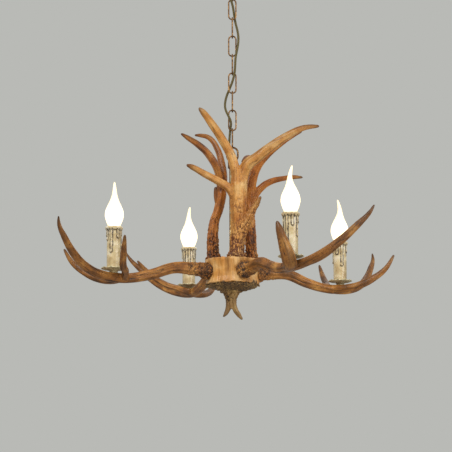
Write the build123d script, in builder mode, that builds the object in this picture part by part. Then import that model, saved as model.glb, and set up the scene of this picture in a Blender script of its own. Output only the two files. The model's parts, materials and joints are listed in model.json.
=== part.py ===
from build123d import *
import math
import os

os.makedirs("parts", exist_ok=True)

# A four-light antler chandelier, in millimetres. The origin is on the ceiling, at the middle of
# the crossbar. +Z is up, +X is to the right seen from the front, and the fixture hangs below.
# The pieces below the chain are drawn from the hub level, the height of the drum's waist.

# Ceiling end
strap_length = 96
strap_width = 18
strap_thickness = 2
strap_foot = 20
strap_slope = 6
strap_drop = 12
strap_bend = 3
slot_spacing = 76
slot_length = 12
slot_width = 5
canopy_radius = 55
canopy_depth = 28
canopy_flat = 28
canopy_wall = 1.2
canopy_lip = 4
canopy_belly = 47
shank_radius = 5
shank_head = 4
lock_nut_width = 15
lock_nut_height = 5
collar_height = 5
collar_radius = 9
collar_flutes = 20
flute_radius = 0.9
bushing_place = (-17, -5)
bushing_radius = 4
bushing_lip_radius = 6
bushing_lip = 1.6
block_place = (-15, -3)
block_length = 16
block_width = 12
block_height = 12

# Chain and cord
link_count = 9
link_length = 42
link_width = 16.5
link_wire = 2.8
hang_gap = 0.3
loop_length = 30
loop_width = 24
loop_wire = 3.5
loop_sink = 1
cord_diameter = 4.4
bend_share = 0.45

# Stem and hub
stem_loop_height = 217.6
stem_radius = 6
stem_bore = 4
boss_radius = 8.5
boss_height = 17
boss_socket = 10
boss_wire_way = 1.6
cord_seat = 4.5
drum_top = 18
drum_bottom = -28
drum_top_radius = 51
drum_waist_radius = 46.5
drum_foot_radius = 50.5
drum_edge = 2
rim_depth = 16
rim_radius = 48
rim_belly_radius = 46
rim_foot_radius = 34
rim_knobs = 13
rim_knob_radius = 5
nub_radius = 6.5
nub_azimuth = 225
fit_gap = 0.1
washer_radius = 11.5
washer_height = 1.5
stem_nut_width = 17
stem_nut_height = 6
stem_end = 1
pocket_depth = 10.5
pocket_radius = 20
finial_stud_radius = 3.9
finial_stud_length = 26
finial_stud_grip = 9

# Candle lights
candle_ring_radius = 230
candle_level = -7
cup_height = 6
cup_top_radius = 10.7
cup_foot_radius = 7.5
dish_radius = 23
dish_depth = 4
dish_wall = 1.4
dish_floor_radius = 15
dish_petals = 9
petal_radius = 9
sleeve_height = 76.5
sleeve_radius = 13.3
sleeve_bore = 11.8
sleeve_swell = 3
drip_radius = 2.3
holder_radius = 11.5
holder_height = 65.5
socket_depth = 18
cap_radius = 6.9
cap_length = 16
cap_rise = 1
cap_nub_radius = 3
cap_nub = 1.5
turn_gap = 0.3
nipple_radius = 4.9
nipple_bore = 3.4
nipple_grip = 10
glass_wall = 0.9

# Antlers
pearl_radius = 3
burr_pearls = 12
burr_depth = 6
arm_burr_radius = 17.8
arm_level = -5
boss_top_radius = 8.7
stud_radius = 3
stud_inside = 16
stud_outside = 14

# Worked out from the above
link_inside = link_length - 2 * link_wire
link_pitch = link_inside - hang_gap
loop_inside = loop_length - 2 * loop_wire
top_loop_level = -canopy_depth - collar_height - loop_length / 2
first_link_level = top_loop_level - loop_inside / 2 + hang_gap - link_inside / 2
last_link_level = first_link_level - (link_count - 1) * link_pitch
stem_loop_level = last_link_level - link_inside / 2 + hang_gap - loop_inside / 2
hub_level = stem_loop_level - stem_loop_height
boss_top = stem_loop_height - loop_inside / 2 + 2
stem_top = boss_top - boss_height + boss_socket
rim_bottom = drum_bottom - rim_depth
nut_bottom = drum_bottom - washer_height - stem_nut_height
stem_bottom = nut_bottom - stem_end
dish_bottom = candle_level - dish_depth
seat_level = dish_bottom - cup_height
sleeve_bottom = dish_bottom + dish_wall
sleeve_top = sleeve_bottom + sleeve_height
holder_top = sleeve_bottom + holder_height
cap_top = holder_top + cap_rise
arm_reach = candle_ring_radius - drum_waist_radius
hub = Pos(0, 0, hub_level)
low = (Align.CENTER, Align.CENTER, Align.MIN)
high = (Align.CENTER, Align.CENTER, Align.MAX)


def save(piece, name, place=Location()):
    shape = place * piece.part
    shape.label = name
    export_step(shape, f"parts/{name}.step")


def wire_loop(length, width, wire):
    """A closed loop of round wire standing in the XZ plane, two half circles and two sides."""
    bend = (width - wire) / 2
    side = (length - width) / 2
    with BuildPart() as loop:
        with BuildLine(Plane.XZ, mode=Mode.PRIVATE) as course:
            Line((bend, -side), (bend, side))
            ThreePointArc((bend, side), (0, side + bend), (-bend, side))
            Line((-bend, side), (-bend, -side))
            ThreePointArc((-bend, -side), (0, -side - bend), (bend, -side))
        with BuildSketch(Plane(origin=(bend, 0, -side), z_dir=(0, 0, 1))):
            Circle(wire / 2)
        sweep(path=course.line)
    return loop


def grow(branches, across=(0, 1, 0)):
    """Joins tapering branches, each lofted through round sections square to its own curve."""
    with BuildPart() as grown:
        for knots in branches:
            places = [Vector(*knot[:3]) for knot in knots]
            with BuildLine(mode=Mode.PRIVATE):
                course = Spline(*places)
            for place, knot in zip(places, knots):
                heading = course.tangent_at(place)
                with BuildSketch(Plane(origin=place, x_dir=across, z_dir=heading)):
                    Circle(knot[3])
            loft()
    return grown


def burr(radius):
    """The pearled crown at the root of an antler, standing on the XY plane."""
    with BuildPart() as crown:
        Cylinder(radius - pearl_radius / 2, burr_depth, align=low)
        with Locations((0, 0, burr_depth / 2)):
            with PolarLocations(radius - pearl_radius, burr_pearls):
                Sphere(pearl_radius)
    return crown.part


def drum_form():
    """The waisted drum without its bores."""
    with BuildPart() as drum:
        with BuildSketch(Plane.XZ):
            with BuildLine():
                Line((0, drum_bottom), (drum_foot_radius, drum_bottom))
                ThreePointArc(
                    (drum_foot_radius, drum_bottom),
                    (drum_waist_radius, 0),
                    (drum_top_radius, drum_top),
                )
                Line((drum_top_radius, drum_top), (0, drum_top))
                Line((0, drum_top), (0, drum_bottom))
            make_face()
        revolve(axis=Axis.Z)
        fillet(drum.edges().group_by(Axis.Z)[0], drum_edge)
        fillet(drum.edges().group_by(Axis.Z)[-1], drum_edge)
    return drum.part


# ---------------------------------------------------------------- ceiling crossbar
foot_end = strap_length / 2
foot_heel = foot_end - strap_foot
middle = foot_heel - strap_slope
foot_line = -strap_thickness / 2
drop_line = strap_thickness / 2 - strap_drop

with BuildPart() as ceiling_crossbar:
    with BuildLine(Plane.XZ, mode=Mode.PRIVATE) as strap_course:
        FilletPolyline(
            (-foot_end, foot_line),
            (-foot_heel, foot_line),
            (-middle, drop_line),
            (middle, drop_line),
            (foot_heel, foot_line),
            (foot_end, foot_line),
            radius=strap_bend,
        )
    with BuildSketch(Plane(origin=(-foot_end, 0, foot_line), x_dir=(0, 1, 0), z_dir=(1, 0, 0))):
        Rectangle(strap_width, strap_thickness)
    sweep(path=strap_course.line)
    with BuildSketch():
        with Locations((-slot_spacing / 2, 0), (slot_spacing / 2, 0)):
            SlotOverall(slot_length, slot_width)
    extrude(amount=-strap_thickness, mode=Mode.SUBTRACT)
    with Locations((0, 0, -strap_drop)):
        Cylinder(shank_radius + fit_gap, strap_drop, align=low, mode=Mode.SUBTRACT)
save(ceiling_crossbar, "ceiling_crossbar")

# ---------------------------------------------------------------- canopy
with BuildPart() as canopy:
    with BuildSketch(Plane.XZ):
        with BuildLine():
            Line((0, 0), (canopy_radius, 0))
            Line((canopy_radius, 0), (canopy_radius, -canopy_lip))
            ThreePointArc(
                (canopy_radius, -canopy_lip),
                (canopy_belly, -(canopy_lip + 2 * canopy_depth) / 3),
                (canopy_flat, -canopy_depth),
            )
            Line((canopy_flat, -canopy_depth), (0, -canopy_depth))
            Line((0, -canopy_depth), (0, 0))
        make_face()
    revolve(axis=Axis.Z)
    offset(amount=-canopy_wall, openings=canopy.faces().sort_by(Axis.Z)[-1])
    with Locations((0, 0, -canopy_depth)):
        Cylinder(shank_radius + fit_gap, canopy_depth, align=low, mode=Mode.SUBTRACT)
        with Locations(bushing_place):
            Cylinder(bushing_radius + fit_gap, canopy_depth, align=low, mode=Mode.SUBTRACT)
save(canopy, "canopy")

# ---------------------------------------------------------------- canopy loop and its nuts
shank_top = lock_nut_height + shank_head - strap_drop - strap_thickness
shank_bottom = top_loop_level + loop_length / 2 - loop_sink

with BuildPart() as canopy_loop:
    with Locations((0, 0, top_loop_level)):
        add(wire_loop(loop_length, loop_width, loop_wire).part)
    with Locations((0, 0, shank_bottom)):
        Cylinder(shank_radius, shank_top - shank_bottom, align=low)
save(canopy_loop, "canopy_loop")

with BuildPart() as canopy_lock_nut:
    with BuildSketch(Plane.XY.offset(strap_thickness - strap_drop)):
        RegularPolygon(lock_nut_width / 2, 6, major_radius=False)
        Circle(shank_radius + fit_gap, mode=Mode.SUBTRACT)
    extrude(amount=lock_nut_height)
save(canopy_lock_nut, "canopy_lock_nut")

with BuildPart() as canopy_collar:
    with BuildSketch(Plane.XY.offset(-canopy_depth)):
        Circle(collar_radius)
        Circle(shank_radius + fit_gap, mode=Mode.SUBTRACT)
        with PolarLocations(collar_radius, collar_flutes):
            Circle(flute_radius, mode=Mode.SUBTRACT)
    extrude(amount=-collar_height)
save(canopy_collar, "canopy_collar")

# ---------------------------------------------------------------- cord bushing, terminal block
with BuildPart() as cord_bushing:
    with BuildSketch(Plane.XY.offset(-canopy_depth)):
        with Locations(bushing_place):
            Circle(bushing_lip_radius)
    extrude(amount=-bushing_lip)
    with BuildSketch(Plane.XY.offset(-canopy_depth)):
        with Locations(bushing_place):
            Circle(bushing_radius)
    extrude(amount=canopy_wall)
    with Locations((*bushing_place, -canopy_depth)):
        Cylinder(cord_diameter / 2 + fit_gap, canopy_depth, mode=Mode.SUBTRACT)
save(cord_bushing, "cord_bushing")

with BuildPart() as terminal_block:
    with Locations((*block_place, -strap_drop)):
        Box(block_length, block_width, block_height, align=high)
    fillet(terminal_block.edges().filter_by(Axis.Z), 1)
save(terminal_block, "terminal_block")

# ---------------------------------------------------------------- chain
chain_link = wire_loop(link_length, link_width, link_wire)
for index in range(link_count):
    quarter = 90 if index % 2 == 0 else 0
    drop = Pos(0, 0, first_link_level - index * link_pitch) * Rot(Z=quarter)
    save(chain_link, f"chain_link_{index}", drop)

# ---------------------------------------------------------------- supply cord
# From the terminal block, down through the bushing and from side to side through the links,
# into the stem's boss. Heights are above the hub level, like the stem's.
cord_route = [
    (*bushing_place, -strap_drop - block_height - hub_level),
    (*bushing_place, 572),
    (-12.5, -8.8, 550),
    (-6.8, -10.2, 531),
    (-3.2, -8.2, 517.5),
    (1.2, -3.6, 505),
    (3.2, 3.5, 491.5),
    (6, 6.5, 475),
    (10.7, 2.5, 456),
    (12, -1.8, 439),
    (9.5, -5.8, 421),
    (5.8, -6.8, 403),
    (5.3, -6, 387),
    (4.2, -4.6, 372.5),
    (0.2, 0.3, 358),
    (-5.5, 5, 345),
    (-11.5, 4.5, 330),
    (-14.5, 2, 314),
    (-12.5, -3, 301),
    (-7.0, -5.6, 289.5),
    (-1.8, -1.4, 279),
    (-4.2, 5.4, 265.5),
    (-5.4, 5, 249),
    (-6, 5.6, 235),
    (-4.2, 3.7, 224.5),
    (0, 0, 214),
    (0, 0, boss_top - cord_seat),
]
bend_radii = []
for before, here, after in zip(cord_route, cord_route[1:], cord_route[2:]):
    coming = Vector(*here) - Vector(*before)
    going = Vector(*after) - Vector(*here)
    half_turn = math.radians(coming.get_angle(going)) / 2
    shorter = min(coming.length, going.length)
    bend_radii.append(bend_share * shorter / math.tan(half_turn))
print("cord bend radii", [round(radius, 1) for radius in bend_radii])

with BuildPart() as supply_cord:
    with BuildLine(mode=Mode.PRIVATE) as cord_course:
        FilletPolyline(*cord_route, radius=bend_radii)
    with BuildSketch(Plane(origin=cord_route[0], z_dir=(0, 0, -1))):
        Circle(cord_diameter / 2)
    sweep(path=cord_course.line)
cord_length = sum(edge.length for edge in cord_course.edges())
cord_section = math.pi * cord_diameter**2 / 4
print("cord length", round(cord_length, 1))
print("cord volume over section by length", supply_cord.part.volume / cord_section / cord_length)
save(supply_cord, "supply_cord", hub)

# ---------------------------------------------------------------- stem
with BuildPart() as stem_loop:
    with Locations((0, 0, stem_loop_height)):
        add(wire_loop(loop_length, loop_width, loop_wire).part)
    with Locations((0, 0, boss_top)):
        Cylinder(boss_radius, boss_height, align=high)
        Cylinder(cord_diameter / 2 + fit_gap, cord_seat, align=high, mode=Mode.SUBTRACT)
        Cylinder(boss_wire_way, boss_height, align=high, mode=Mode.SUBTRACT)
    with Locations((0, 0, boss_top - boss_height)):
        Cylinder(stem_radius + fit_gap, boss_socket, align=low, mode=Mode.SUBTRACT)
save(stem_loop, "stem_loop", hub)

with BuildPart() as stem_tube:
    with Locations((0, 0, stem_bottom)):
        Cylinder(stem_radius, stem_top - stem_bottom, align=low)
        Cylinder(stem_bore, stem_top - stem_bottom, align=low, mode=Mode.SUBTRACT)
save(stem_tube, "stem_tube", hub)

with BuildPart() as hub_nuts:
    for face, way in ((drum_top, 1), (drum_bottom, -1)):
        with BuildSketch(Plane.XY.offset(face)):
            Circle(washer_radius)
        extrude(amount=way * washer_height)
        with BuildSketch(Plane.XY.offset(face + way * washer_height)):
            RegularPolygon(stem_nut_width / 2, 6, major_radius=False)
        extrude(amount=way * stem_nut_height)
    Cylinder(stem_radius + fit_gap, 4 * drum_top_radius, mode=Mode.SUBTRACT)
save(hub_nuts, "hub_nuts", hub)

# ---------------------------------------------------------------- arms, one casting turned round
# Each knot of the beam is (share of the way to the candle, side, height, radius).
beam_knots = [
    (-0.04, 0, -5, 13.5),
    (0.07, 0, -5.5, 12.8),
    (0.15, 0, -6, 11.8),
    (0.37, 0, -3, 9.8),
    (0.60, 0, -16, 9.3),
    (0.83, 0, -25, 8.8),
    (1.00, 3, -25.5, 8.8),
    (1.13, 10, -23, 8.2),
    (1.32, 26, -12, 7.6),
    (1.475, 46, 7, 7.0),
    (1.607, 68, 33, 5.6),
    (1.68, 82, 51, 4.2),
    (1.70, 90, 65, 2.3),
]
# The other tines' knots are (out from the candle's axis, side, height, radius).
side_tine = [
    (-15, 0, -25, 8.2),
    (-2, -25, -26, 7.7),
    (16, -47, -21, 7.0),
    (35, -65, -9, 6.2),
    (54, -78, 9, 4.8),
    (69, -84, 35, 2.2),
]
broad_tine = [
    (-17, 0, -26, 8.2),
    (12, -8, -27, 9.0),
    (27, -17, -21, 10.4),
    (34, -24.5, -9, 10.8),
    (35.3, -29.3, 2.5, 10),
    (35.4, -33.6, 15, 8.8),
    (33.8, -39.2, 32, 6.4),
    (31.5, -42.8, 44, 3.2),
]
short_tine = [
    (-24, 0, -25, 7.6),
    (-18, 11, -23, 6.8),
    (-13.5, 27.5, -18, 6.4),
    (-2, 50, -10, 6.2),
    (6.5, 78, 9, 5.6),
    (13.5, 104, 36, 2.3),
]
arms = [
    ("left", 202, -1.2, side_tine),
    ("near", -64.5, 3, broad_tine),
    ("right", 26, 0.4, side_tine),
    ("back", 112, 6.8, side_tine),
]
drum = drum_form()


def raised(out, side, height, radius, lift):
    share = 1 + out / arm_reach
    return (candle_ring_radius + out, side, height + share * lift, radius)


def grow_arm(lift, second_tine):
    beam = [((share - 1) * arm_reach, *rest) for share, *rest in beam_knots]
    branches = [[raised(*knot, lift) for knot in knots] for knots in (beam, second_tine, short_tine)]
    seat = seat_level + lift
    with BuildPart() as arm:
        add(grow(branches).part)
        with Locations(Plane(origin=(drum_waist_radius, 0, arm_level), z_dir=(1, 0, 0))):
            add(burr(arm_burr_radius))
        with Locations((candle_ring_radius, 0, seat)):
            Cylinder(boss_top_radius, seat - short_tine[0][2] - lift, align=high)
            Cylinder(cup_top_radius + fit_gap, cup_height, align=low, mode=Mode.SUBTRACT)
            Cylinder(nipple_radius + fit_gap, nipple_grip + fit_gap, align=high, mode=Mode.SUBTRACT)
        add(drum, mode=Mode.SUBTRACT)
        with Locations(Plane(origin=(drum_waist_radius, 0, arm_level), z_dir=(1, 0, 0))):
            Cylinder(stud_radius + fit_gap, 2 * stud_outside, mode=Mode.SUBTRACT)
    return arm


for name, azimuth, lift, second_tine in arms:
    save(grow_arm(lift, second_tine), f"{name}_arm", hub * Rot(Z=azimuth))

# ---------------------------------------------------------------- upright antlers
front_upright_branches = [
    [
        (7, -30, 21, 13.8),
        (9, -31, 37, 13.2),
        (11, -33, 69, 13.4),
        (11, -36, 115, 14.8),
        (11.5, -38, 150, 14.8),
        (10, -40, 176, 9),
    ],
    [
        (11, -37, 140, 9),
        (-1, -42, 202, 8.8),
        (-19, -47, 236, 7.6),
        (-38, -52, 264, 7.2),
        (-54, -56, 285, 5.8),
        (-62, -58, 293, 3.6),
    ],
    [
        (12, -38, 140, 11.5),
        (27, -42, 188, 11.2),
        (44, -45, 201, 9.7),
        (69, -50, 220, 8.3),
        (98, -55, 239, 7),
        (130, -60, 254, 5),
        (159, -64, 257, 2.4),
    ],
    [
        (10, -36, 112, 8.5),
        (-6, -42, 144, 8),
        (-23, -48, 155, 7.4),
        (-50, -58, 168, 6.4),
        (-74, -66, 180, 5),
        (-84, -70, 183, 2.8),
    ],
    [
        (14, -33, 58, 8),
        (25, -36, 85, 7.2),
        (36, -40, 103, 6.2),
        (45, -44, 117, 4.6),
        (51, -47, 128, 2.5),
    ],
]
left_upright_branches = [
    [
        (-35, 12, 21, 11.5),
        (-37, 13, 48, 11),
        (-36, 14, 80, 10),
        (-33, 15, 96, 9.2),
        (-27, 16, 113, 9),
        (-21, 18, 146, 9.8),
        (-20, 19, 163, 7),
    ],
    [
        (-22, 18, 138, 8),
        (-24, 12, 179, 8),
        (-44, 2, 217, 7),
        (-63, -6, 234, 6.2),
        (-83, -14, 246, 4.6),
        (-96, -20, 253, 2.3),
    ],
    [
        (-22, 18, 138, 8),
        (-17, 22, 177, 8),
        (-20, 28, 207, 7),
        (-28, 36, 236, 6),
        (-43, 44, 259, 5),
        (-60, 52, 266, 4),
        (-72, 58, 268, 2.3),
    ],
    [
        (-25, 16, 119, 6),
        (-30, 14, 139, 4.8),
        (-32, 12, 158, 3.2),
    ],
]
right_upright_branches = [
    [
        (35, 16, 21, 11.4),
        (34, 17, 49, 10.8),
        (33, 18, 81, 10.4),
        (32, 20, 115, 10),
        (33, 22, 145, 7),
    ],
    [
        (32, 20, 108, 7.5),
        (41, 21, 140, 7.4),
        (54, 22, 158, 6.8),
        (71, 24, 170, 6),
        (96, 26, 177, 4.8),
        (118, 28, 180, 3.9),
        (133, 30, 180, 2.3),
    ],
    [
        (32, 21, 128, 8),
        (37, 16, 164, 8),
        (46, 8, 193, 7.2),
        (63, 2, 215, 6.4),
        (85, -4, 233, 5.2),
        (110, -10, 249, 3.8),
        (130, -14, 259, 2.2),
    ],
]
right_back_prong = [
    (33, 22, 138, 7),
    (34, 36, 191, 6.8),
    (34, 56, 219, 6),
    (27, 82, 229, 4.4),
    (19, 104, 225, 2.3),
]
uprights = [
    ("front", front_upright_branches, None, 18.5),
    ("left", left_upright_branches, None, 15.7),
    ("right", right_upright_branches, right_back_prong, 15.7),
]

for name, branches, back_prong, crown_radius in uprights:
    root = branches[0][0][:2]
    with BuildPart() as upright:
        add(grow(branches).part)
        if back_prong:
            add(grow([back_prong], across=(1, 0, 0)).part)
        with Locations((*root, drum_top)):
            add(burr(crown_radius))
            Cylinder(stud_radius + fit_gap, stud_outside, align=low, mode=Mode.SUBTRACT)
    save(upright, f"{name}_upright", hub)

# ---------------------------------------------------------------- drum and studs
stud_length = stud_inside + stud_outside
arm_azimuths = [azimuth for _, azimuth, _, _ in arms]
upright_roots = [branches[0][0][:2] for _, branches, _, _ in uprights]
stud_start = drum_waist_radius - stud_inside

with BuildPart() as hub_drum:
    add(drum)
    Cylinder(stem_radius + fit_gap, 4 * drum_top_radius, mode=Mode.SUBTRACT)
    for azimuth in arm_azimuths:
        socket = Rot(Z=azimuth) * Pos(stud_start, 0, arm_level) * Rot(Y=90)
        with Locations(socket):
            Cylinder(stud_radius + fit_gap, stud_length, align=low, mode=Mode.SUBTRACT)
    with Locations(*[(*root, drum_top) for root in upright_roots]):
        Cylinder(stud_radius + fit_gap, stud_inside, align=high, mode=Mode.SUBTRACT)
save(hub_drum, "hub_drum", hub)

with BuildPart() as arm_studs:
    for azimuth in arm_azimuths:
        socket = Rot(Z=azimuth) * Pos(stud_start, 0, arm_level) * Rot(Y=90)
        with Locations(socket):
            Cylinder(stud_radius, stud_length - fit_gap, align=low)
save(arm_studs, "arm_studs", hub)

with BuildPart() as upright_studs:
    with Locations(*[(*root, drum_top - stud_inside) for root in upright_roots]):
        Cylinder(stud_radius, stud_length - fit_gap, align=low)
save(upright_studs, "upright_studs", hub)

# ---------------------------------------------------------------- burr under the drum, forked tip
with BuildPart() as base_rim:
    with BuildSketch(Plane.XZ):
        with BuildLine():
            Line((0, drum_bottom), (rim_radius, drum_bottom))
            ThreePointArc(
                (rim_radius, drum_bottom),
                (rim_belly_radius, drum_bottom - rim_depth * 0.45),
                (rim_foot_radius, rim_bottom),
            )
            Line((rim_foot_radius, rim_bottom), (0, rim_bottom))
            Line((0, rim_bottom), (0, drum_bottom))
        make_face()
    revolve(axis=Axis.Z)
    with Locations((0, 0, drum_bottom - rim_knob_radius)):
        with PolarLocations(rim_radius - rim_knob_radius, rim_knobs):
            Sphere(rim_knob_radius)
    with Locations((0, 0, drum_bottom - nub_radius - 1)):
        with PolarLocations(rim_radius - nub_radius, 1, start_angle=nub_azimuth):
            Sphere(nub_radius)
    with Locations((0, 0, drum_bottom)):
        Cylinder(pocket_radius, pocket_depth, align=high, mode=Mode.SUBTRACT)
        Cylinder(finial_stud_radius + fit_gap, rim_depth, align=high, mode=Mode.SUBTRACT)
save(base_rim, "base_rim", hub)

finial_branches = [
    [(-3, 0, rim_bottom + 2, 18), (-3, 0, -49, 13), (-2.5, 0, -60, 9.2), (-3, 0, -73, 8)],
    [(-5, 0, -62, 6), (-9, 0, -75, 5.4), (-13, 0, -82, 4.2), (-17, 0, -88, 2)],
    [(-1, 0, -60, 6.5), (6, 0, -73, 5.6), (13, 0, -84, 4.2), (18, 0, -93, 2)],
]
finial_stud_bottom = rim_bottom - finial_stud_grip

with BuildPart() as finial_fork:
    add(grow(finial_branches).part)
    split(bisect_by=Plane.XY.offset(rim_bottom), keep=Keep.BOTTOM)
    with Locations((0, 0, rim_bottom)):
        Cylinder(
            finial_stud_radius + fit_gap, finial_stud_grip + fit_gap, align=high, mode=Mode.SUBTRACT
        )
save(finial_fork, "finial_fork", hub)

with BuildPart() as finial_stud:
    with Locations((0, 0, finial_stud_bottom)):
        Cylinder(finial_stud_radius, finial_stud_length, align=low)
save(finial_stud, "finial_stud", hub)

# ---------------------------------------------------------------- candle lights
with BuildPart() as cup:
    with BuildSketch(Plane.XZ):
        with BuildLine():
            Line((0, seat_level), (cup_foot_radius, seat_level))
            ThreePointArc(
                (cup_foot_radius, seat_level),
                (cup_foot_radius + 0.6, seat_level + cup_height * 0.55),
                (cup_top_radius, dish_bottom),
            )
            Line((cup_top_radius, dish_bottom), (0, dish_bottom))
            Line((0, dish_bottom), (0, seat_level))
        make_face()
    revolve(axis=Axis.Z)
    Cylinder(nipple_radius + fit_gap, 4 * cup_top_radius, mode=Mode.SUBTRACT)

with BuildPart() as dish:
    with BuildSketch(Plane.XZ):
        with BuildLine():
            Line((0, dish_bottom), (dish_floor_radius, dish_bottom))
            ThreePointArc(
                (dish_floor_radius, dish_bottom),
                (dish_floor_radius + 4.6, dish_bottom + 0.9),
                (dish_radius, candle_level - dish_wall),
            )
            Line((dish_radius, candle_level - dish_wall), (dish_radius, candle_level))
            ThreePointArc(
                (dish_radius, candle_level),
                (dish_floor_radius + 4.0, dish_bottom + dish_wall + 0.9),
                (dish_floor_radius, sleeve_bottom),
            )
            Line((dish_floor_radius, sleeve_bottom), (0, sleeve_bottom))
            Line((0, sleeve_bottom), (0, dish_bottom))
        make_face()
    revolve(axis=Axis.Z)
    with BuildSketch(Plane.XY.offset(dish_bottom)):
        Circle(dish_radius - petal_radius / 3)
        with PolarLocations(dish_radius - petal_radius, dish_petals):
            Circle(petal_radius)
    extrude(amount=dish_depth, mode=Mode.INTERSECT)
    Cylinder(nipple_radius + fit_gap, 4 * dish_radius, mode=Mode.SUBTRACT)

# Each drip is (azimuth round the sleeve, length down from the top).
drips = [(10, 22), (62, 44), (105, 15), (158, 33), (205, 52), (251, 18), (300, 36), (338, 12)]

with BuildPart() as sleeve:
    with Locations((0, 0, sleeve_bottom)):
        Cylinder(sleeve_radius, sleeve_height, align=low)
    with Locations((0, 0, sleeve_top - sleeve_swell)):
        Torus(sleeve_radius, sleeve_swell)
    for azimuth, length in drips:
        with Locations(Rot(Z=azimuth) * Pos(sleeve_radius, 0, sleeve_top - sleeve_swell)):
            Cylinder(drip_radius, length, align=high)
        with Locations(Rot(Z=azimuth) * Pos(sleeve_radius, 0, sleeve_top - sleeve_swell - length)):
            Sphere(drip_radius)
    Cylinder(sleeve_bore, 4 * sleeve_height, mode=Mode.SUBTRACT)

with BuildPart() as lampholder:
    with Locations((0, 0, sleeve_bottom)):
        Cylinder(holder_radius, holder_height, align=low)
        Cylinder(nipple_radius + fit_gap, nipple_grip + fit_gap, align=low, mode=Mode.SUBTRACT)
        Cylinder(nipple_bore, holder_height - socket_depth, align=low, mode=Mode.SUBTRACT)
    with Locations((0, 0, holder_top)):
        Cylinder(cap_radius + turn_gap, socket_depth, align=high, mode=Mode.SUBTRACT)

with BuildPart() as bulb_cap:
    with Locations((0, 0, cap_top)):
        Cylinder(cap_radius, cap_length, align=high)
    with Locations((0, 0, cap_top - cap_length)):
        Cylinder(cap_nub_radius, cap_nub, align=high)

# Knots of the flame-tip glass: (bend of the tail, 0, height above the sleeve, radius).
flame = [
    (0, 0, cap_top - sleeve_top, cap_radius),
    (0, 0, -3, 10),
    (0, 0, 5, 12.8),
    (0, 0, 14, 16),
    (0, 0, 23, 17.4),
    (0, 0, 33, 15.4),
    (-0.3, 0, 42.5, 11.3),
    (-0.8, 0, 50, 8.1),
    (-1, 0, 57, 5.9),
    (-0.6, 0, 64, 4.6),
    (0.4, 0, 71, 3.5),
    (1.8, 0, 77, 2.5),
    (3.4, 0, 83, 1.2),
]
hollow = [(x, y, z, radius - glass_wall) for x, y, z, radius in flame[:-1]]

with BuildPart() as bulb_glass:
    add(grow([flame]).part)
    add(grow([hollow]).part, mode=Mode.SUBTRACT)

for name, azimuth, lift, _ in arms:
    light = hub * Rot(Z=azimuth) * Pos(candle_ring_radius, 0, lift)
    save(cup, f"{name}_cup", light)
    save(dish, f"{name}_dish", light)
    save(sleeve, f"{name}_sleeve", light)
    save(lampholder, f"{name}_lampholder", light)
    save(bulb_cap, f"{name}_bulb_cap", light)
    save(bulb_glass, f"{name}_bulb_glass", light * Pos(0, 0, sleeve_top))

with BuildPart() as candle_nipples:
    for _, azimuth, lift, _ in arms:
        with Locations(Rot(Z=azimuth) * Pos(candle_ring_radius, 0, seat_level - nipple_grip + lift)):
            Cylinder(nipple_radius, sleeve_bottom - seat_level + 2 * nipple_grip, align=low)
            Cylinder(
                nipple_bore, sleeve_bottom - seat_level + 2 * nipple_grip, align=low, mode=Mode.SUBTRACT
            )
save(candle_nipples, "candle_nipples", hub)

print("hub level", hub_level, "first link", first_link_level, "stem loop", stem_loop_level)
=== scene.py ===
import json
import math
import random
from functools import partial

import bpy
import numpy
from mathutils import Matrix, Vector, noise


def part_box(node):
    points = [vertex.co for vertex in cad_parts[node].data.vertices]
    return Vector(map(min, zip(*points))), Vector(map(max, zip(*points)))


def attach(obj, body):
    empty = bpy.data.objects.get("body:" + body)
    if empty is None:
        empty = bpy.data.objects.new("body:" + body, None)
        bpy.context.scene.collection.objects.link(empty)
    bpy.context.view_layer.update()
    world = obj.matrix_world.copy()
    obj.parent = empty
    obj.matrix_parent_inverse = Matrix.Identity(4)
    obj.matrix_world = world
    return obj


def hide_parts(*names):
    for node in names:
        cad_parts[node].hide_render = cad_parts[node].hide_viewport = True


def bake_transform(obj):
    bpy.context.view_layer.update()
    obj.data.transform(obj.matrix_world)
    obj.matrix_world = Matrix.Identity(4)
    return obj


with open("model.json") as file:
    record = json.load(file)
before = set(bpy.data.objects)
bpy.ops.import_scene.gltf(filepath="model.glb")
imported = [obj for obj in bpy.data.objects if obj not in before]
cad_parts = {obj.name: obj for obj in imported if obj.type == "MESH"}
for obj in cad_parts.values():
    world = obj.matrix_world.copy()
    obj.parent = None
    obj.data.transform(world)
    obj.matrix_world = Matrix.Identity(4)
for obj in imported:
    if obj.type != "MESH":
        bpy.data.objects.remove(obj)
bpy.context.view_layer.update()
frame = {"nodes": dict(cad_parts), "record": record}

bpy.ops.object.select_all(action="DESELECT")
noise.seed_set(11)  # without a seed the noise vectors are drawn from the clock and each run differs
mm = 0.001
drumFoot = 28  # mm from the drum's waist down to its foot
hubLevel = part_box("hub_drum")[0][2] + drumFoot * mm  # the height of the drum's waist


def setAll(target, **settings):
    for key, value in settings.items():
        setattr(target, key, value)
    return target


def makeActive(piece):
    bpy.ops.object.select_all(action="DESELECT")
    piece.select_set(True)
    bpy.context.view_layer.objects.active = piece


def applyAll(piece):
    makeActive(piece)
    for modifier in list(piece.modifiers):
        bpy.ops.object.modifier_apply(modifier=modifier.name)


def joinAll(pieces, name):  # one mesh, with its place in it
    makeActive(pieces[0])
    for piece in pieces:
        piece.select_set(True)
    bpy.ops.object.join()
    joined = bpy.context.object
    joined.name = name
    bpy.ops.object.transform_apply(location=True, rotation=True, scale=True)
    return joined


def melt(piece, voxel, soften):  # one skin over all that overlaps, then smoothed
    setAll(piece.modifiers.new("melt", "REMESH"), mode="VOXEL", voxel_size=voxel * mm)
    setAll(piece.modifiers.new("soften", "SMOOTH"), iterations=soften)
    applyAll(piece)


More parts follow.
